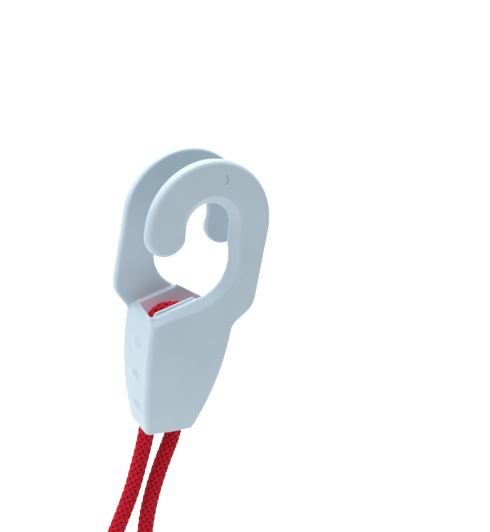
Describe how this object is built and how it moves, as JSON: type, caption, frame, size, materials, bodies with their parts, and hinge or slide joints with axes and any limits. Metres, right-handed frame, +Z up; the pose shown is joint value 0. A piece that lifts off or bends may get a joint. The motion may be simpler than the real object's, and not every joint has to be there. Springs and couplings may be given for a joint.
{
  "type": "rail hook with drawstring",
  "caption": "Moulded plastic hook with two curled plates that clip over a round rail and a tapered socket that holds a braided red cord loop.",
  "frame": {"origin": "axis of the rail seat, midway between the two curled plates", "axes": "+Y along the rail, away from the front plate; +Z up; +X to the right seen from the front"},
  "size_m": [0.0794, 0.034, 0.3714],
  "materials": {
    "shell_plastic": "satin",
    "wedge_plastic": "satin",
    "cord_red": "matte"
  },
  "bodies": {
    "hook_body": {"hook_body": "shell_plastic"},
    "cord_wedge": {"cord_wedge": "wedge_plastic", "cord_bight": "cord_red", "cord_loop": "cord_red"}
  },
  "joints": [
    {"name": "wedge_slide", "type": "slide", "parent": "hook_body", "child": "cord_wedge", "axis": [0, 0, 1], "range_m": [0, 0.008]}
  ]
}
